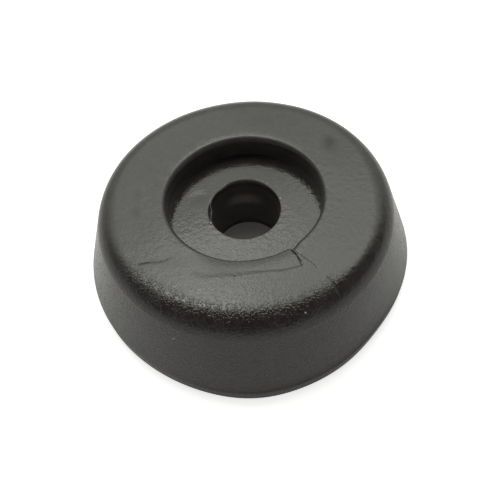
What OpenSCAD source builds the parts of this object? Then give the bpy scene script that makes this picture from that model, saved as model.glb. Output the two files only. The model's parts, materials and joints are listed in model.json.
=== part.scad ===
// Screw-on rubber foot, moulded in one piece.
// It stands on its wide base, and its axis is Z. The base is the face that is
// screwed against the furniture or case, and the small tread face is the one
// that meets the ground in use. The recess in the tread hides the screw's head.

/* [Body] */
// Diameter of the base
base_d = 18; // [16:0.1:24]
// Diameter that the sloping side would reach at the tread, with no round there
tread_d = 15; // [13:0.1:17]
// Height from the base to the tread
height = 5; // [4:0.1:10]
// Height of the upright land round the base
land_h = 0.95; // [0.4:0.05:1.6]
// How far the land stands out from the foot of the side
land_step = 0.08; // [0.02:0.01:0.3]

/* [Screw seat] */
// Diameter of the recess for the screw's head
recess_d = 8.1; // [6:0.1:9]
// Depth of the recess below the tread
recess_depth = 1.2; // [0.8:0.05:3]
// Diameter of the screw hole
bore_d = 3.8; // [2:0.1:5]

/* [Rounded edges] */
// Radius of the round between the side and the tread
tread_edge_r = 1.4; // [0.4:0.05:1.8]
// Radius of the round at the foot of the land
base_edge_r = 0.25; // [0.05:0.01:0.4]
// Radius of the rounded lip of the recess
lip_r = 0.15; // [0.05:0.01:0.6]
// Radius of the fillet between the wall and the floor of the recess
floor_fillet_r = 0.05; // [0.05:0.01:0.4]
// Radius of the round at the mouth of the screw hole
mouth_r = 0.06; // [0.05:0.01:0.5]

/* [Hidden] */
$fn = 128;

base_r = base_d / 2;
recess_r = recess_d / 2;
bore_r = bore_d / 2;
floor_z = height - recess_depth;

// How far a cutting shape runs past the faces that it cuts
past = 1;

// The side leans in from the top of the land by this angle.
lean = atan2(base_r - land_step - tread_d / 2, height - land_h);
// The centre of the round lies one radius inside both the tread and the leaning side.
tread_edge_x = tread_d / 2 - tread_edge_r * (1 - sin(lean)) / cos(lean);

// The round corners of the section, each with the centre and the radius of its arc
tread_edge = [[tread_edge_x, height - tread_edge_r], tread_edge_r];
base_edge = [[base_r - base_edge_r, base_edge_r], base_edge_r];
lip = [[recess_r + lip_r, height - lip_r], lip_r];
floor_fillet = [[recess_r - floor_fillet_r, floor_z + floor_fillet_r], floor_fillet_r];
mouth = [[bore_r + mouth_r, floor_z - mouth_r], mouth_r];

// The disc that an arc is part of
module disc(corner) {
    translate(corner[0]) circle(r = corner[1]);
}

// All that lies inside the land and above the base, with the round at its foot
module inside_land() {
    polygon([
        [0, 0],
        [base_r - base_edge_r, 0],
        [base_r, base_edge_r],
        [base_r, height + past],
        [0, height + past]
    ]);
    disc(base_edge);
}

// All that lies under the tread and inside the leaning side. The side is drawn upright
// against its round, and both are then leaned in together.
module inside_side() {
    square([tread_edge_x, height]);
    translate(tread_edge[0]) rotate(lean) {
        circle(r = tread_edge_r);
        translate([-base_d, -base_d]) square([base_d + tread_edge_r, base_d]);
    }
}

// The space for the screw: its hole with a round mouth, and the recess for its head
module screw_space() {
    difference() {
        union() {
            polygon([
                [0, -past],
                [bore_r, -past],
                [bore_r, floor_z - mouth_r],
                [bore_r + mouth_r, floor_z],
                [recess_r - floor_fillet_r, floor_z],
                [recess_r, floor_z + floor_fillet_r],
                [recess_r, height - lip_r],
                [recess_r + lip_r, height],
                [recess_r + lip_r, height + past],
                [0, height + past]
            ]);
            disc(floor_fillet);
        }
        disc(mouth);
        disc(lip);
    }
}

// Half of the section of the foot, to the right of its axis
module section() {
    difference() {
        intersection() {
            inside_land();
            union() {
                inside_side();
                square([base_r, land_h]);
            }
        }
        screw_space();
    }
}

module rubber_foot() {
    color("#2b2a29") rotate_extrude() section();
}

rubber_foot();
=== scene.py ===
import json
import math

import bpy
import numpy as np
from mathutils import Matrix, Vector


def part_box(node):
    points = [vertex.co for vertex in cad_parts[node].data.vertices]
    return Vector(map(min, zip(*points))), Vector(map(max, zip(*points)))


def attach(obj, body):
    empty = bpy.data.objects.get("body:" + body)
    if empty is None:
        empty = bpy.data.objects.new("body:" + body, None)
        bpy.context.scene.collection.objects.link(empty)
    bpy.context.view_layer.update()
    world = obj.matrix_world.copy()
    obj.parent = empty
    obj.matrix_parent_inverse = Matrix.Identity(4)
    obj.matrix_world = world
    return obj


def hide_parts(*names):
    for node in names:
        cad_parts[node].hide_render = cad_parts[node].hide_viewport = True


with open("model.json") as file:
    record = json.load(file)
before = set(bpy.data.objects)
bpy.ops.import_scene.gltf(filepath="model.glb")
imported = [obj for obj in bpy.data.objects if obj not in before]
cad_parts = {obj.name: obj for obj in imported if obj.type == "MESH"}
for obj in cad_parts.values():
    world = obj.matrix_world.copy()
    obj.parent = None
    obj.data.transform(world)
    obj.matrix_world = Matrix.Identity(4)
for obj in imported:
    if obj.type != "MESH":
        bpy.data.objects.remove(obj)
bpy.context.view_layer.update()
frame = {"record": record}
mm = 0.001  # the frame is in metres, and the settings below are in millimetres and degrees


# sizes that the frame gives
lowCorner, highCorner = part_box("rubber_foot")
baseRadius = (highCorner.x - lowCorner.x) / 2 / mm
treadHeight = (highCorner.z - lowCorner.z) / mm
mountRadius = {m["name"]: m["dims"].get("r_mm") for m in frame["record"]["mounts"]}
boreRadius = mountRadius["screw_hole"]
recessRadius = mountRadius["head_recess"]

footShape = {
    "treadRadius": 7.5,           # where the leaning side would meet the tread
    "treadEdgeRadius": 1.4,
    "landHeight": 0.95,           # upright band at the base
    "landStep": 0.09,             # how far it stands out from the foot of the side, at the front
    "landSlope": 0.09,            # the height over which it does
    "landFrom": -135,             # the angles between which it does
    "landTo": -12,
    "landFade": 45,
    "baseEdgeRadius": 0.25,
    "recessDepth": 1.2,
    "lipRadius": 0.2,
    "floorFilletRadius": 0.012,
    "cornerGap": 0.02,            # the floor's last rows close up, so that it is shaded flat to its corner
    "mouthRadius": 0.06,
    "turnSteps": 610,             # columns round the axis, which close up over the cracked front
    "denseFrom": -152,
    "denseTo": -50,
    "denseFade": 6,
    "denseBy": 1.2,
    "rows": {                     # rows of points along each stretch of the section
        "bore": 10,
        "mouth": 14,
        "floor": 22,
        "corner": 2,
        "fillet": 6,
        "wall": 4,
        "lip": 14,
        "tread": 46,
        "edge": 22,
        "side": 10,
        "ledge": 2,
        "land": 3,
        "baseEdge": 5,
        "underside": 3,
    },
    "treadGather": 1.25,          # the tread's rows close up towards the lip
    "sideGather": 0.85,           # and the side's rows towards the land
}

# wear and damage, with places as (x, y) on the tread
footWear = {
    "cracks": {
        "tear": {
            "path": [(1.93, -3.44), (2.08, -3.70), (2.24, -3.95), (2.34, -4.24), (2.41, -4.61)],
            "halfWidth": 0.023,
            "depth": (0.12, 0.06),
        },
        "branch": {
            "path": [(2.05, -3.44), (2.22, -3.72), (2.59, -4.16), (2.89, -4.42), (3.12, -4.78)],
            "halfWidth": 0.027,
            "depth": (0.03, 0.018),
        },
        "leftCrack": {
            "path": [(-5.39, -3.61), (-4.81, -3.56), (-4.33, -3.59), (-4.04, -3.51), (-3.80, -3.40)],
            "halfWidth": 0.032,
            "depth": (0.045, 0.02),
        },
        "pit": {
            "path": [(-0.84, -4.76), (-0.76, -4.75)],
            "halfWidth": 0.035,
            "depth": (0.05, 0.04),
        },
        "edgeNick": {
            "path": [(3.50, -5.31), (3.65, -5.54), (3.78, -5.85), (3.95, -6.20)],
            "halfWidth": 0.048,
            "depth": (0.02, 0.06),
        },
    },
    "crackFoot": {"from": 0.15, "fade": 0.5},  # above the recess floor, where cracks in the wall run out
    # a flap of the tread has sunk a little between the tear and the lip, down a step along the crease;
    # the step's depth and width run from the tear's end to the left
    "flap": {
        "from": -140,
        "to": -60.7,
        "fade": 24,
        "lipGrowth": -0.06,
        "roll": 0.036,
        "crease": [(2.41, -4.59), (1.71, -4.75), (0.91, -4.77), (0.11, -4.77), (-0.79, -4.80),
                   (-1.54, -4.78), (-2.30, -4.80), (-2.85, -4.55), (-3.15, -4.10)],
        "step": (0.011, 0.004),
        "width": (0.055, 0.40),
        "fall": 0.014,
        "fullDrop": 0.01,         # a drop that counts as sunk
    },
    # the lip is rounder at the back, and the tread falls away softly to it
    "lipBack": {"at": 100, "spread": 65, "by": 0.06},
    "lipRoll": {"drop": 0.014, "backDrop": 0.078, "width": 0.3, "backWidth": 0.15},
    "rimNotch": {"at": -59.4, "depth": 0.15, "leftSpread": 1.2, "rightSpread": 5.0},
    "recessWiden": -0.02,
    "recessOval": 0.075,          # the recess is wider from side to side than from front to back
    "recessShift": (0.015, 0.05),  # and lies a little to the back
    "recessDent": {"at": 135, "spread": 28, "by": -0.075},
    "mouthRound": {"at": 85, "spread": 48, "by": 0.17},  # the mouth of the hole is rounder at the back
    "chord": {"at": 126, "spread": 9, "depth": 0.05},    # and has a flat place there
    # a fin of flash leans into the mouth of the hole, with a crevice behind it; its section is
    # (share of the mouth, radius from the bore, height from the recess floor)
    "flash": {
        "at": 179,
        "spread": 12,
        "section": [(0, 0, -0.5), (0.25, -0.10, -0.15), (0.4, -0.16, -0.02), (0.5, -0.12, 0.01),
                    (0.6, -0.08, 0.015), (0.75, -0.03, -0.2), (0.88, 0.03, -0.1), (1, 0.1, 0)],
    },
    "nub": {"place": (-1.86, -0.78), "radius": 0.08, "height": 0.05},  # a small bump beside the flash
    "scuff": {"place": (-2.45, 1.0), "radius": 0.5, "depth": 0.012},
    "waves": {"height": 0.006, "size": 3.5, "seed": 4, "from": 3.0, "fade": 0.8},  # from a height upwards
    # where the recess floor falls to its wall: angle, spread and depth
    "floorFall": {"back": (90, 50, 0.03)},
    # where the round of the tread's edge is tighter or softer: angle, spread and change of its radius
    "edgeRound": {
        "left": (-147, 28, -0.17),
        "right": (-28, 24, -0.17),
        "backRight": (28, 28, -0.26),
        "back": (95, 24, 0.16),
        "backLeft": (158, 24, -0.26),
    },
    # where the base swells or is flat: angle, spread and change of its radius
    "baseSwell": {
        "front": (-92, 16, 0.14),
        "right": (-45, 16, -0.17),
        "farRight": (-9, 18, 0.05),
        "left": (-128, 16, -0.04),
    },
    "swellFrom": 0.8,             # below the tread, where that starts
    "swellFade": 4,
}

# the stretches of the section that make up the top, the floor of the recess and the outside
topParts = ("lip", "tread", "edge")
floorParts = ("floor", "fillet")
outerParts = ("edge", "side", "ledge", "land", "baseEdge", "underside")


def mix(first, last, share):
    # a value between two others
    return first + (last - first) * share


def smoothStep(value, start, length):
    # 0 up to the start, then a smooth ramp to 1
    t = np.clip((value - start) / length, 0, 1)
    return t * t * (3 - 2 * t)


def window(value, low, high, soft):
    # 1 between low and high, with a smooth ramp inside each end
    return np.minimum(smoothStep(value, low, soft), smoothStep(-value, -high, soft))


def hump(value, centre, spread):
    # a bell of height 1
    return np.exp(-((value - centre) / spread) ** 2)


def swell(angle, at, spread):
    # a bell of height 1 on the circle of angles
    return hump((angle - at + 180) % 360 - 180, 0, spread)


def swells(angle, places):
    # the sum of several bells on that circle, each with its angle, spread and height
    return sum(by * swell(angle, at, spread) for at, spread, by in places.values())


def patch(x, y, place, size):
    # a soft oval patch of height 1
    return np.exp(-((x - place[0]) / size[0]) ** 2 - ((y - place[1]) / size[1]) ** 2)


def ripple(x, y, size, seed):
    # smooth uneven ground, mostly between -1 and 1: the sum of nine sine waves in seeded directions,
    # with lengths from 0.6 to 1.4 of the size
    total = np.zeros(x.shape)
    for heading, phase, stretch in np.random.default_rng(seed).random((9, 3)):
        way = 2 * math.pi * heading
        pace = 2 * math.pi / (size * (0.6 + 0.8 * stretch))
        total += np.sin(pace * (x * math.cos(way) + y * math.sin(way)) + 2 * math.pi * phase)
    return total / 4


def turnAngles():
    # column angles from -180 to 180 degrees: equal shares of a sum that grows faster over the front
    s = footShape
    fine = np.linspace(-180, 180, 3601)  # every tenth of a degree
    crowd = 1 + s["denseBy"] * window(fine, s["denseFrom"], s["denseTo"], s["denseFade"])
    reach = np.concatenate(([0], np.cumsum((crowd[1:] + crowd[:-1]) / 2)))
    return np.interp(np.linspace(0, reach[-1], s["turnSteps"], endpoint=False), reach, fine)


def onFlap(angle):
    # 1 over the flap, which stops short at the tear and fades out at its other end
    flap = footWear["flap"]
    return window(angle, flap["from"], flap["to"] + flap["fade"], flap["fade"]) * (angle < flap["to"])


def recessWall(angle):
    # the radius of the recess, a little oval and to the back, with a dent, and a notch at the tear
    notch, dent = footWear["rimNotch"], footWear["recessDent"]
    side = np.where(angle < notch["at"], notch["leftSpread"], notch["rightSpread"])
    turn = np.radians(angle)
    across, back = footWear["recessShift"]
    oval = footWear["recessWiden"] + footWear["recessOval"] * np.cos(2 * turn)
    oval = oval + across * np.cos(turn) + back * np.sin(turn)
    oval = oval + dent["by"] * swell(angle, dent["at"], dent["spread"])
    return recessRadius + oval + notch["depth"] * swell(angle, notch["at"], side)


# a point of the section is one complex number: its radius, and its height as the imaginary part
def straight(first, last, steps, gather=1.0):
    # points along a line, without its last point; gather above 1 draws them to its start
    t = np.linspace(0, 1, steps, endpoint=False)[:, None] ** gather
    return first * (1 - t) + last * t


def bend(centre, radius, firstAngle, lastAngle, steps):
    # points along an arc, without its last point
    t = np.linspace(0, 1, steps, endpoint=False)[:, None]
    return centre + radius * np.exp(1j * (firstAngle * (1 - t) + lastAngle * t))


def footSection(angle):
    # the closed section at each column, in named stretches: up the bore, over the recess and the
    # tread, down the side and back under the base; the name of each row's stretch comes with it
    s = footShape
    rows = s["rows"]
    quarter = math.pi / 2
    even = np.zeros(len(angle))
    floorHeight = treadHeight - s["recessDepth"]
    step = s["landStep"] * window(angle, s["landFrom"], s["landTo"], s["landFade"])
    lean = np.arctan2(baseRadius - step - s["treadRadius"], treadHeight - s["landHeight"])
    fillet = s["floorFilletRadius"]
    mouthRound = footWear["mouthRound"]
    mouth = s["mouthRadius"] + mouthRound["by"] * swell(angle, mouthRound["at"], mouthRound["spread"])
    foot = s["baseEdgeRadius"]
    edge = s["treadEdgeRadius"] + swells(angle, footWear["edgeRound"])
    lipBack = footWear["lipBack"]
    lip = s["lipRadius"] + lipBack["by"] * swell(angle, lipBack["at"], lipBack["spread"])
    lip = lip + footWear["flap"]["lipGrowth"] * onFlap(angle)
    wall = recessWall(angle)
    chord = footWear["chord"]
    bore = boreRadius - chord["depth"] * swell(angle, chord["at"], chord["spread"])

    # the centres of the rounds and the ends of the straight stretches
    edgeCentre = s["treadRadius"] - edge * (1 - np.sin(lean)) / np.cos(lean) + 1j * (treadHeight - edge)
    sideTop = edgeCentre + edge * np.exp(1j * lean)
    sideFoot = baseRadius - step + 1j * s["landHeight"]
    landTop = baseRadius + 1j * (s["landHeight"] - s["landSlope"])
    baseEdge = baseRadius - foot + 1j * foot
    mouthCentre = bore + mouth + 1j * (floorHeight - mouth)
    fall = swells(angle, footWear["floorFall"])
    filletCentre = wall - fillet + 1j * (floorHeight - fall + fillet)
    floorEnd = filletCentre - 1j * fillet
    lipCentre = wall + lip + 1j * (treadHeight - lip)

    # the mouth of the hole turns into the fin of flash where it is torn
    flash = footWear["flash"]
    finShare, finRadius, finHeight = np.array(flash["section"]).T
    share = np.linspace(0, 1, rows["mouth"], endpoint=False)
    fin = boreRadius + np.interp(share, finShare, finRadius)
    fin = (fin + 1j * (floorHeight + np.interp(share, finShare, finHeight)))[:, None]
    torn = swell(angle, flash["at"], flash["spread"])

    plainMouth = bend(mouthCentre, mouth, 2 * quarter, quarter, rows["mouth"])
    openFloor = straight(mouthCentre + 1j * mouth, floorEnd - s["cornerGap"], rows["floor"])
    corner = straight(floorEnd - s["cornerGap"], floorEnd, rows["corner"])
    treadEnd = edgeCentre + 1j * edge + even
    stretches = {
        "bore": straight(boreRadius + even, mouthCentre - mouth, rows["bore"]),
        "mouth": plainMouth * (1 - torn) + fin * torn,
        "floor": np.concatenate((openFloor, corner)),
        "fillet": bend(filletCentre, fillet, -quarter, 0, rows["fillet"]),
        "wall": straight(filletCentre + fillet, lipCentre - lip, rows["wall"]),
        "lip": bend(lipCentre, lip, 2 * quarter, quarter, rows["lip"]),
        "tread": straight(lipCentre + 1j * lip, treadEnd, rows["tread"], s["treadGather"]),
        "edge": bend(edgeCentre + even, edge, quarter, lean, rows["edge"]),
        "side": straight(sideTop + even, sideFoot + even, rows["side"], s["sideGather"]),
        "ledge": straight(sideFoot + even, landTop + even, rows["ledge"]),
        "land": straight(landTop + even, baseEdge + foot + even, rows["land"]),
        "baseEdge": bend(baseEdge + even, foot, 0, -quarter, rows["baseEdge"]),
        "underside": straight(baseEdge - 1j * foot + even, boreRadius + even, rows["underside"]),
    }
    names = np.repeat(list(stretches), [len(points) for points in stretches.values()])
    return np.concatenate(list(stretches.values())), names[:, None]


def wayFrom(x, y, path):
    # the distance of each point from a bent line, and the share of the line passed there
    nearest = np.full(x.shape, np.inf)
    passed = np.zeros(x.shape)
    length = 0.0
    for (ax, ay), (bx, by) in zip(path[:-1], path[1:]):
        span = math.hypot(bx - ax, by - ay)
        t = np.clip(((x - ax) * (bx - ax) + (y - ay) * (by - ay)) / span ** 2, 0, 1)
        gap = np.hypot(x - ax - t * (bx - ax), y - ay - t * (by - ay))
        passed = np.where(gap < nearest, length + t * span, passed)
        nearest = np.minimum(gap, nearest)
        length += span
    return nearest, passed / length


def crackDepth(x, y):
    # V-shaped grooves along the cracks, each with a depth that runs from its first to its last value
    depth = np.zeros(x.shape)
    for crack in footWear["cracks"].values():
        gap, share = wayFrom(x, y, crack["path"])
        deepest = mix(*crack["depth"], share)
        depth = np.maximum(depth, deepest * np.clip(1 - gap / crack["halfWidth"], 0, 1))
    return depth


def flapDrop(x, y, angle):
    # inside the crease the tread steps down and then falls on gently towards the lip
    flap = footWear["flap"]
    crease = np.array(flap["crease"])[::-1]
    creaseAngle = np.degrees(np.arctan2(crease[:, 1], crease[:, 0]))
    inside = np.interp(angle, creaseAngle, np.hypot(crease[:, 0], crease[:, 1])) - np.hypot(x, y)
    step = np.interp(angle, creaseAngle[[0, -1]], flap["step"][::-1])
    width = np.interp(angle, creaseAngle[[0, -1]], flap["width"][::-1])
    return (step * smoothStep(inside, 0, width) + flap["fall"] * np.maximum(inside, 0)) * onFlap(angle)


def scuffed(x, y, part):
    # 1 over the rubbed place on the recess floor, with a firm edge
    scuff = footWear["scuff"]
    away = np.hypot(x - scuff["place"][0], y - scuff["place"][1]) / scuff["radius"]
    return np.exp(-away ** 4) * (part == "floor")


def relief(x, y, height, part):
    # height along the section's normal: slow waves and the nub, less the scuff and the cracks
    waves, nub, crackFoot = footWear["waves"], footWear["nub"], footWear["crackFoot"]
    uneven = ripple(x, y, waves["size"], waves["seed"])
    raised = waves["height"] * uneven * smoothStep(height, waves["from"], waves["fade"])
    raised -= footWear["scuff"]["depth"] * scuffed(x, y, part)
    bump = patch(x, y, nub["place"], (nub["radius"], nub["radius"]))
    raised += nub["height"] * bump * np.isin(part, ("mouth", "floor"))
    floorHeight = treadHeight - footShape["recessDepth"]
    cracked = smoothStep(height, floorHeight + crackFoot["from"], crackFoot["fade"])
    return raised - crackDepth(x, y) * cracked


def sinking(x, y, angle, part):
    # straight down: the flap, and the fall of the tread to its lip, which dies away outwards
    roll, lipBack = footWear["lipRoll"], footWear["lipBack"]
    behind = swell(angle, lipBack["at"], lipBack["spread"])
    fall = roll["drop"] + roll["backDrop"] * behind + footWear["flap"]["roll"] * onFlap(angle)
    outward = np.maximum(np.hypot(x, y) - recessWall(angle), 0)
    fall = fall * np.exp(-outward / (roll["width"] + roll["backWidth"] * behind))
    return (flapDrop(x, y, angle) + fall) * np.isin(part, topParts)


# how the finish differs over the foot, in strengths from 0 to 1
footFinish = {
    "frontAt": -88,               # the angle at which the mould is coarsest
    "grain": {                    # the fine grain
        "treadLeast": 0.10,       # at the back of the tread
        "treadMost": 0.25,        # and at the front
        "treadSpread": 34,
        "flapLeft": 0.6,          # the share that is left where the flap is rubbed smooth
        "scuffLost": 0.8,         # the share that is lost in the scuff
        "edge": 0.92,
        "edgeLeft": -168,         # the angles between which the edge is coarse
        "edgeRight": -36,
        "edgeSoft": 36,
        "edgeFrom": 6.0,          # from the axis
        "edgeFade": 0.7,
        "side": 0.9,
        "sideTop": 4.1,           # above the base
        "sideFade": 0.6,
        "bandAt": 4.6,            # the height of the dark band below the edge, where the grain is finer
        "bandSpread": 0.35,
        "bandLess": 0.35,
        "floorLeast": 0.17,       # at the back of the recess
        "floorMost": 0.15,        # and at the front
        "floorSpread": 60,
    },
    "lumps": {                    # the softer lumps under it
        "floor": 0.5,
        "floorBack": 0.6,         # the share of them at the back
        "floorSpread": 80,
        "tread": 0.36,
        "right": 0.3,             # the more of them to the right
        "rightAt": -25,
        "rightSpread": 45,
    },
    "smudges": {                  # dull patches on the tread: strength, place and half width
        "left": (0.7, (-5.75, 0.0), (0.5, 1.5)),
        "right": (0.65, (5.15, 2.9), (0.8, 1.2)),
        "leftCrack": (0.25, (-4.3, -3.6), (1.3, 0.45)),
        "flap": (0.22, (-2.0, -4.55), (0.85, 0.24)),
    },
    "smudgeUneven": {"mean": 0.75, "swing": 0.5, "most": 1.2, "size": 1.6, "seed": 7},
    "dull": {                     # below 0 it is shinier than the rest
        "fillet": 0.8,
        "bore": 0.8,
        "wall": 0.65,
        "lip": 0.2,
        "lipBack": 0.6,           # the more of it at the back
        "mouth": 0.2,
        "mouthBack": 0.5,
        "floor": -0.13,
        "floorBack": -0.05,
        "crackDepth": 0.03,       # a depth at which a crack is quite dull
    },
    "paintedLight": {                     # painted light: a pale colour that stands in for light in the hole and the recess
        "place": (0.0, 2.3),      # a painted reflection, in a patch across and up the far wall of the hole
        "size": (1.1, 0.4),
        "boreTop": 0.02,
        "boreFoot": 0.36,         # the more painted light down the hole
        "wall": 0.028,
        "corner": 0.04,           # painted light that lifts the shade in the corner of the recess
        "cornerFade": 0.2,
    },
}


def grainStrength(radius, height, angle, part, sunk, rubbed):
    # strongest at the front of the tread and its edge, weaker round to the back, down the side and
    # in the recess
    g = footFinish["grain"]
    front = footFinish["frontAt"]
    tread = mix(g["treadLeast"], g["treadMost"], swell(angle, front, g["treadSpread"]))
    tread = tread * (1 - (1 - g["flapLeft"]) * sunk)
    edge = g["edge"] * window(angle, g["edgeLeft"], g["edgeRight"], g["edgeSoft"])
    top = np.maximum(tread, edge * smoothStep(radius, g["edgeFrom"], g["edgeFade"]))
    outer = mix(g["side"], top, smoothStep(height, g["sideTop"], g["sideFade"]))
    outer = outer * (1 - g["bandLess"] * hump(height, g["bandAt"], g["bandSpread"]))
    floor = mix(g["floorLeast"], g["floorMost"], swell(angle, front, g["floorSpread"]))
    inner = np.isin(part, ("bore", "mouth", "floor", "fillet", "wall"))
    return np.where(inner, floor, outer) * (1 - g["scuffLost"] * rubbed)


def lumpStrength(angle, part, sunk, rubbed):
    # on the recess floor, less at its back, and on the tread, more to its right; none where it is rubbed
    lump = footFinish["lumps"]
    front = swell(angle, footFinish["frontAt"], lump["floorSpread"])
    floor = lump["floor"] * mix(lump["floorBack"], 1, front)
    tread = lump["tread"] + lump["right"] * swell(angle, lump["rightAt"], lump["rightSpread"])
    lumps = floor * np.isin(part, floorParts) + tread * np.isin(part, topParts) * (1 - sunk)
    return lumps * (1 - rubbed)


def dullness(x, y, angle, part):
    # uneven smudges and cracks on the tread, and a value for each stretch of the recess and the hole
    d, uneven = footFinish["dull"], footFinish["smudgeUneven"]
    lipBack, mouthRound = footWear["lipBack"], footWear["mouthRound"]
    behind = swell(angle, lipBack["at"], lipBack["spread"])
    onTop = np.isin(part, topParts)
    smudge = sum(most * patch(x, y, place, size) for most, place, size in footFinish["smudges"].values())
    swing = uneven["swing"] * ripple(x, y, uneven["size"], uneven["seed"])
    smudge = smudge * onTop * np.clip(uneven["mean"] + swing, 0, uneven["most"])
    cracked = np.clip(crackDepth(x, y) / d["crackDepth"], 0, 1) * onTop
    mouthBack = swell(angle, mouthRound["at"], mouthRound["spread"])
    stretches = {
        "fillet": d["fillet"],
        "bore": d["bore"],
        "wall": d["wall"],
        "lip": d["lip"] + d["lipBack"] * behind,
        "mouth": d["mouth"] + d["mouthBack"] * mouthBack,
    }
    fixed = sum(value * (part == name) for name, value in stretches.items())
    dull = np.maximum(np.maximum(smudge, cracked), fixed)
    return np.where(part == "floor", d["floor"] + d["floorBack"] * behind, dull)


def paintedLightStrength(x, y, radius, height, angle, part):
    # painted light: a painted reflection in a patch on the far wall of the hole, more painted light
    # towards the foot of the hole, a little on the recess wall and in its corner, where it lifts the shade
    f = footFinish["paintedLight"]
    paintedReflection = patch(x, height, f["place"], f["size"]) * (part == "bore") * (y > 0)
    paintedLift = (f["boreTop"] + f["boreFoot"] * (1 - height / treadHeight)) * (part == "bore")
    paintedLift = paintedLift + f["wall"] * (part == "wall")
    inward = np.maximum(recessWall(angle) - radius, 0)
    paintedLift = paintedLift + f["corner"] * np.exp(-inward / f["cornerFade"]) * np.isin(part, floorParts)
    return np.maximum(paintedReflection, paintedLift)


def makeGrid(name, points):
    # a closed surface from points on a grid that wraps both ways, with its faces outwards
    rows, columns = points.shape[:2]
    index = np.arange(rows * columns).reshape(rows, columns)
    nextRow = np.roll(index, -1, axis=0)
    corners = (index, nextRow, np.roll(nextRow, -1, axis=1), np.roll(index, -1, axis=1))
    faces = np.stack(corners, axis=-1)
    mesh = bpy.data.meshes.new(name)
    mesh.vertices.add(rows * columns)
    mesh.vertices.foreach_set("co", points.astype(np.float32).ravel())
    mesh.loops.add(faces.size)
    mesh.loops.foreach_set("vertex_index", faces.astype(np.int32).ravel())
    mesh.polygons.add(rows * columns)
    mesh.polygons.foreach_set("loop_start", np.arange(0, faces.size, len(corners), dtype=np.int32))
    mesh.update(calc_edges=True)
    mesh.validate()
    mesh.shade_smooth()
    piece = bpy.data.objects.new(name, mesh)
    bpy.context.scene.collection.objects.link(piece)
    return piece


def surfaceValue(piece, name, values):
    # one number for each point, for the material to read
    layer = piece.data.attributes.new(name, "FLOAT", "POINT")
    layer.data.foreach_set("value", values.astype(np.float32).ravel())


def rubberFoot():
    # the section turned about Z, with its relief along its normals and its base a little uneven
    angle = turnAngles()
    section, part = footSection(angle)
    along = np.roll(section, -1, axis=0) - np.roll(section, 1, axis=0)
    normal = 1j * along / np.abs(along)
    turn = np.radians(angle)[None, :]
    radius, height = section.real, section.imag
    x, y = radius * np.cos(turn), radius * np.sin(turn)
    angles = np.broadcast_to(angle, x.shape)
    section = section + normal * relief(x, y, height, part) - 1j * sinking(x, y, angles, part)
    low = smoothStep(treadHeight - height, footWear["swellFrom"], footWear["swellFade"])
    section = section + low * np.isin(part, outerParts) * swells(angles, footWear["baseSwell"])
    points = np.stack((section.real * np.cos(turn), section.real * np.sin(turn), section.imag), axis=-1)
    piece = makeGrid("rubberFoot", points * mm)

    rubbed = scuffed(x, y, part)
    sunk = np.clip(flapDrop(x, y, angles) / footWear["flap"]["fullDrop"], 0, 1) * np.isin(part, topParts)
    surfaceValue(piece, "grain", grainStrength(radius, height, angles, part, sunk, rubbed))
    surfaceValue(piece, "lumps", lumpStrength(angles, part, sunk, rubbed))
    surfaceValue(piece, "smudge", dullness(x, y, angles, part))
    # painted light and a painted reflection in the hole and the recess
    surfaceValue(piece, "paintedLight", paintedLightStrength(x, y, radius, height, angles, part))
    print("foot:", len(piece.data.polygons), "faces")
    return piece


def newMaterial(name):
    # a material with Blender's first nodes in it
    material = bpy.data.materials.new(name)
    material.use_nodes = True
    return material, material.node_tree.nodes, material.node_tree.links


def mathNode(tree, operation, first, second):
    # one sum on two inputs, each a plain number or a node's output
    node = tree.nodes.new("ShaderNodeMath")
    node.operation = operation
    for socket, value in zip(node.inputs, (first, second)):
        if isinstance(value, (int, float)):
            socket.default_value = value
        else:
            tree.links.new(value, socket)
    return node.outputs[0]


def ramp(tree, value, low, high, first, last):
    # value from low to high becomes first to last, smoothly
    node = tree.nodes.new("ShaderNodeMapRange")
    node.interpolation_type = "SMOOTHSTEP"
    for name, number in zip(("From Min", "From Max", "To Min", "To Max"), (low, high, first, last)):
        node.inputs[name].default_value = number
    tree.links.new(value, node.inputs["Value"])
    return node.outputs["Result"]


def noise(tree, place, size, detail):
    # soft random spots of about the given size in millimetres
    node = tree.nodes.new("ShaderNodeTexNoise")
    node.inputs["Scale"].default_value = 1 / (size * mm)
    node.inputs["Detail"].default_value = detail
    tree.links.new(place, node.inputs["Vector"])
    return node.outputs["Fac"]


def surfaceAmount(tree, name):
    # the number that surfaceValue gave to each point
    node = tree.nodes.new("ShaderNodeAttribute")
    node.attribute_name = name
    return node.outputs["Fac"]


def blend(tree, amount, first, last):
    # a colour between two others, each plain or a node's output
    node = tree.nodes.new("ShaderNodeMix")
    node.data_type = "RGBA"
    tree.links.new(amount, node.inputs["Factor"])
    for name, colour in (("A", first), ("B", last)):
        socket = [s for s in node.inputs if s.name == name and s.type == "RGBA"][0]
        if isinstance(colour, tuple):
            socket.default_value = colour
        else:
            tree.links.new(colour, socket)
    return [s for s in node.outputs if s.type == "RGBA"][0]


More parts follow.
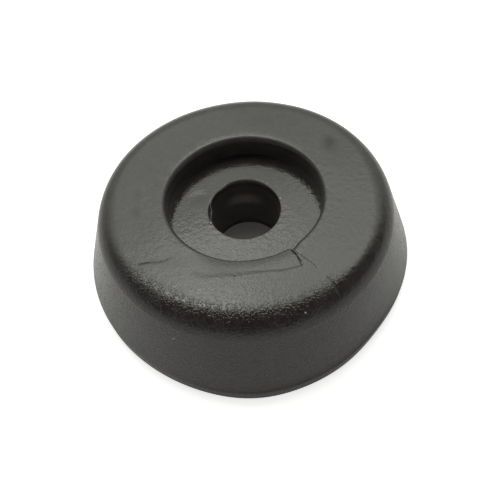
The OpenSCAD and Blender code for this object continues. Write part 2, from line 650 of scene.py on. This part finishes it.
rubberLook = {
    "darkColour": (0.0268, 0.0212, 0.0206, 1),
    "paleColour": (0.0392, 0.034, 0.0332, 1),
    # the colour of the painted light and painted reflection in the hole and the recess
    "paintedLightColour": (0.45, 0.40, 0.385, 1),
    "roughness": 0.17,
    "roughnessSpread": 0.06,
    "smudgeRoughness": 0.55,
    "mottleSize": 0.7,
    "mottleDetail": 3,
    "mottleRange": (0.3, 0.7),    # the values of the noise over which the roughness changes
    "grainSize": 0.09,            # across one grain
    "grainHeight": 0.019,
    "grainDetail": 1,
    "grainRange": (0.42, 0.8),    # the values of the noise over which a grain rises
    "lumpSize": 0.27,
    "lumpHeight": 0.022,
    "fleckRange": (0.15, 0.38),   # the values of grain times mottle over which the colour changes
    "dustAndHighlightColour": (0.42, 0.41, 0.40, 1),
    "speckCore": 0.5,              # the share of a speck's radius that is plain colour
    "dustAndHighlights": {                     # specks of dust and pale grains, and painted highlights on the lip and by the flash: place and radius
        "edge": ((2.26, -6.92, 4.77), 0.06),
        "frontLeft": ((-3.92, -6.99, 3.57), 0.055),
        "left": ((-5.33, -5.51, 4.39), 0.045),
        "farLeft": ((-6.05, -3.92, 4.81), 0.05),
        "right": ((6.16, -4.76, 4.19), 0.04),
        "front": ((0.36, -8.77, 1.43), 0.04),
        # a painted highlight on the lip beside the tear
        "rim": ((2.10, -3.58, 4.95), 0.05),
        "mouth": ((1.97, 0.5, 3.79), 0.05),
        # a painted highlight beside the fin of flash
        "flash": ((-1.86, -0.70, 3.80), 0.07),
    },
}


def blackRubber():
    # one shader: its bump, roughness and colour follow noise and the values on the surface
    material, nodes, links = newMaterial("blackRubber")
    tree = material.node_tree
    look = rubberLook
    shader = nodes["Principled BSDF"]
    place = nodes.new("ShaderNodeTexCoord").outputs["Object"]

    # sandblasted grain over softer lumps, each as deep as the surface says
    grain = noise(tree, place, look["grainSize"], look["grainDetail"])
    lumps = noise(tree, place, look["lumpSize"], look["grainDetail"])
    peaks = ramp(tree, grain, *look["grainRange"], 0, 1)
    fine = mathNode(tree, "MULTIPLY", peaks, surfaceAmount(tree, "grain"))
    soft = mathNode(tree, "MULTIPLY", lumps, surfaceAmount(tree, "lumps"))
    soft = mathNode(tree, "MULTIPLY", soft, look["lumpHeight"] / look["grainHeight"])
    bump = nodes.new("ShaderNodeBump")
    bump.inputs["Distance"].default_value = look["grainHeight"] * mm
    links.new(mathNode(tree, "ADD", fine, soft), bump.inputs["Height"])
    links.new(bump.outputs["Normal"], shader.inputs["Normal"])

    # duller where it is smudged, with a slow mottle
    mottle = noise(tree, place, look["mottleSize"], look["mottleDetail"])
    least = look["roughness"] - look["roughnessSpread"] / 2
    most = look["roughness"] + look["roughnessSpread"] / 2
    rough = ramp(tree, mottle, *look["mottleRange"], least, most)
    smudge = mathNode(tree, "MULTIPLY", surfaceAmount(tree, "smudge"), look["smudgeRoughness"])
    links.new(mathNode(tree, "ADD", rough, smudge), shader.inputs["Roughness"])

    # black with a paler fine grain, painted light in the hole and the recess,
    # and a few specks of dust and two painted highlights
    fleck = ramp(tree, mathNode(tree, "MULTIPLY", grain, mottle), *look["fleckRange"], 0, 1)
    colour = blend(tree, fleck, look["darkColour"], look["paleColour"])
    # painted light in the hole and the recess
    colour = blend(tree, surfaceAmount(tree, "paintedLight"), colour, look["paintedLightColour"])
    # pale specks: dust, and painted highlights on the lip and by the flash
    dustAndHighlight = None
    for spot, radius in look["dustAndHighlights"].values():
        gap = nodes.new("ShaderNodeVectorMath")
        gap.operation = "DISTANCE"
        gap.inputs[1].default_value = Vector(spot) * mm
        links.new(place, gap.inputs[0])
        speck = ramp(tree, gap.outputs["Value"], radius * mm * look["speckCore"], radius * mm, 1, 0)
        dustAndHighlight = speck if dustAndHighlight is None else mathNode(tree, "MAXIMUM", dustAndHighlight, speck)
    links.new(blend(tree, dustAndHighlight, colour, look["dustAndHighlightColour"]), shader.inputs["Base Color"])
    return material


foot = rubberFoot()
foot.data.materials.append(blackRubber())
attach(foot, "root")
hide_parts("rubber_foot")


stageLook = {
    "floorColour": (0.64, 0.63, 0.615, 1),
    "floorWidth": 1200,
    "glow": 0.8,                  # lifts the floor to white where the camera sees it
    "glossGlow": 0.47,            # the share of that lift in reflections
    "glowUnder": 0.02,            # the little that is seen through the hole, painted light under the foot
    "glowFrom": 7.3,              # from the axis
    "glowTo": 9.3,
    "glossFrom": 7.8,             # the same in reflections, where the fall towards the foot paints shade round its base
    "glossTo": 10.7,
}


def paleFloor():
    # a plain square under the foot: matt paint, and a glow that grows with the distance from the axis
    # and lights nothing; its fall towards the foot paints shade round the base, most in reflections,
    # and leaves a little painted light under the foot, seen through the hole
    look = stageLook
    half = look["floorWidth"] / 2 * mm
    mesh = bpy.data.meshes.new("floor")
    corners = [(-half, -half, 0), (half, -half, 0), (half, half, 0), (-half, half, 0)]
    mesh.from_pydata(corners, [], [(0, 1, 2, 3)])
    floor = bpy.data.objects.new("floor", mesh)
    bpy.context.scene.collection.objects.link(floor)
    material, nodes, links = newMaterial("paleFloor")
    tree = material.node_tree
    nodes.remove(nodes["Principled BSDF"])
    paint = nodes.new("ShaderNodeBsdfDiffuse")
    paint.inputs["Color"].default_value = look["floorColour"]
    glow = nodes.new("ShaderNodeEmission")
    path = nodes.new("ShaderNodeLightPath")
    place = nodes.new("ShaderNodeTexCoord")
    far = nodes.new("ShaderNodeVectorMath")
    far.operation = "LENGTH"
    links.new(place.outputs["Object"], far.inputs[0])
    away = far.outputs["Value"]
    plain = ramp(tree, away, look["glowFrom"] * mm, look["glowTo"] * mm, look["glowUnder"], look["glow"])
    plain = mathNode(tree, "MULTIPLY", path.outputs["Is Camera Ray"], plain)
    glossGlow = look["glow"] * look["glossGlow"]
    mirrored = ramp(tree, away, look["glossFrom"] * mm, look["glossTo"] * mm, 0, glossGlow)
    mirrored = mathNode(tree, "MULTIPLY", path.outputs["Is Glossy Ray"], mirrored)
    links.new(mathNode(tree, "MAXIMUM", plain, mirrored), glow.inputs["Strength"])
    both = nodes.new("ShaderNodeAddShader")
    links.new(paint.outputs[0], both.inputs[0])
    links.new(glow.outputs[0], both.inputs[1])
    links.new(both.outputs[0], nodes["Material Output"].inputs["Surface"])
    mesh.materials.append(material)
    print("floor:", look["floorWidth"], "mm wide")


# the room is one big soft light behind the foot, and pale low walls all round it; its shares of the
# peak are given by the height in degrees
roomLight = {
    "colour": (0.965, 1.0, 0.92),
    "peak": 4.0,
    "back": {0: 0.14, 20: 0.21, 33: 0.30, 42: 0.42, 52: 0.485, 56: 0.79,
             60: 0.82, 66: 0.77, 74: 0.34, 82: 0.08, 90: 0.05},
    "front": {0: 0.20, 12: 0.16, 22: 0.045, 45: 0.012, 90: 0.0},
    "backWidth": (40, 85),        # to each side, where the back starts and ends to fade
}

softBoxes = {
    "core": {"azimuth": -22, "elevation": 67, "size": (60, 26), "radiance": 4.6},
    "middle": {"azimuth": -6, "elevation": 57.5, "size": (66, 22), "radiance": 1.5},
    "right": {"azimuth": 22, "elevation": 51, "size": (60, 26), "radiance": 0.75},
    "farLeft": {"azimuth": -16, "elevation": 43, "size": (80, 40), "radiance": 0.35},
}
softBoxDistance = 220  # from the middle of the base


def softBox(name, azimuth, elevation, size, radiance):
    # an even panel of light that faces the foot; its power follows from its brightness and area
    data = bpy.data.lights.new(name, "AREA")
    data.shape = "RECTANGLE"
    data.size, data.size_y = size[0] * mm, size[1] * mm
    data.color = roomLight["colour"]
    data.energy = radiance * math.pi * data.size * data.size_y
    lamp = bpy.data.objects.new(name, data)
    bpy.context.scene.collection.objects.link(lamp)
    side, rise = math.radians(azimuth), math.radians(elevation)
    away = Vector((math.sin(side) * math.cos(rise), math.cos(side) * math.cos(rise), math.sin(rise)))
    lamp.location = away * softBoxDistance * mm
    lamp.rotation_mode = "QUATERNION"
    lamp.rotation_quaternion = (-away).to_track_quat("-Z", "Y")


def brightnessByHeight(tree, rise, shares, colour):
    # a colour ramp over the height, which runs from 0 at the floor to 1 straight up
    node = tree.nodes.new("ShaderNodeValToRGB")
    node.color_ramp.interpolation = "EASE"
    stops = node.color_ramp.elements
    while len(stops) < len(shares):
        stops.new(1)
    for stop, (degrees, share) in zip(stops, shares.items()):
        stop.position = degrees / 90
        stop.color = (*(share * c for c in colour), 1)
    tree.links.new(rise, node.inputs["Fac"])
    return node.outputs["Color"]


def paleRoom():
    # brightness by height, one way behind the foot and another round the front, and plain white
    # where the camera looks straight at it
    world = bpy.data.worlds.new("room")
    bpy.context.scene.world = world
    world.use_nodes = True
    tree = world.node_tree
    place = tree.nodes.new("ShaderNodeTexCoord")
    way = tree.nodes.new("ShaderNodeSeparateXYZ")
    tree.links.new(place.outputs["Generated"], way.inputs[0])
    rise = mathNode(tree, "MULTIPLY", mathNode(tree, "ARCSINE", way.outputs["Z"], 0), 2 / math.pi)
    turn = mathNode(tree, "ABSOLUTE", mathNode(tree, "ARCTAN2", way.outputs["X"], way.outputs["Y"]), 0)
    start, end = (math.radians(a) for a in roomLight["backWidth"])
    behind = ramp(tree, turn, start, end, 1, 0)
    back = brightnessByHeight(tree, rise, roomLight["back"], roomLight["colour"])
    front = brightnessByHeight(tree, rise, roomLight["front"], (1, 1, 1))
    light = tree.nodes["Background"]
    light.inputs["Strength"].default_value = roomLight["peak"]
    tree.links.new(blend(tree, behind, front, back), light.inputs["Color"])
    white = tree.nodes.new("ShaderNodeBackground")
    white.inputs["Color"].default_value = (1, 1, 1, 1)
    path = tree.nodes.new("ShaderNodeLightPath")
    both = tree.nodes.new("ShaderNodeMixShader")
    tree.links.new(path.outputs["Is Camera Ray"], both.inputs["Fac"])
    tree.links.new(light.outputs[0], both.inputs[1])
    tree.links.new(white.outputs[0], both.inputs[2])
    tree.links.new(both.outputs[0], tree.nodes["World Output"].inputs["Surface"])


def studioLight():
    # the soft boxes, then the room
    for name, box in softBoxes.items():
        softBox(name, **box)
    paleRoom()
    print("light:", len(softBoxes), "soft boxes and the room")


cameraView = {
    "focalPixels": 533.1,         # for a picture of the width below
    "pictureWidth": 500,          # pixels
    "sensorWidth": 36,
    "distance": 31.98,            # from the aim point
    "elevation": 56.91,
    "roll": -5.75,
    "aim": (0.055, 0, -0.258),
    "clip": (1, 2000),
}


def photoCamera():
    # a camera in front of the foot and above it, that looks at the aim point and is rolled a little
    view = cameraView
    data = bpy.data.cameras.new("camera")
    data.sensor_width = view["sensorWidth"]
    data.lens = view["focalPixels"] * data.sensor_width / view["pictureWidth"]
    data.clip_start, data.clip_end = (limit * mm for limit in view["clip"])
    camera = bpy.data.objects.new("camera", data)
    bpy.context.scene.collection.objects.link(camera)
    elevation = math.radians(view["elevation"])
    back = Vector((0, -math.cos(elevation), math.sin(elevation)))
    camera.location = (Vector(view["aim"]) + back * view["distance"]) * mm
    camera.rotation_mode = "QUATERNION"
    level = (-back).to_track_quat("-Z", "Y")
    rolled = Matrix.Rotation(math.radians(view["roll"]), 3, "Z").to_quaternion()
    camera.rotation_quaternion = level @ rolled
    bpy.context.scene.camera = camera
    print("camera:", view["distance"], "mm away,", view["elevation"], "degrees up")


paleFloor()
studioLight()
photoCamera()
bpy.context.scene.view_settings.view_transform = "Standard"
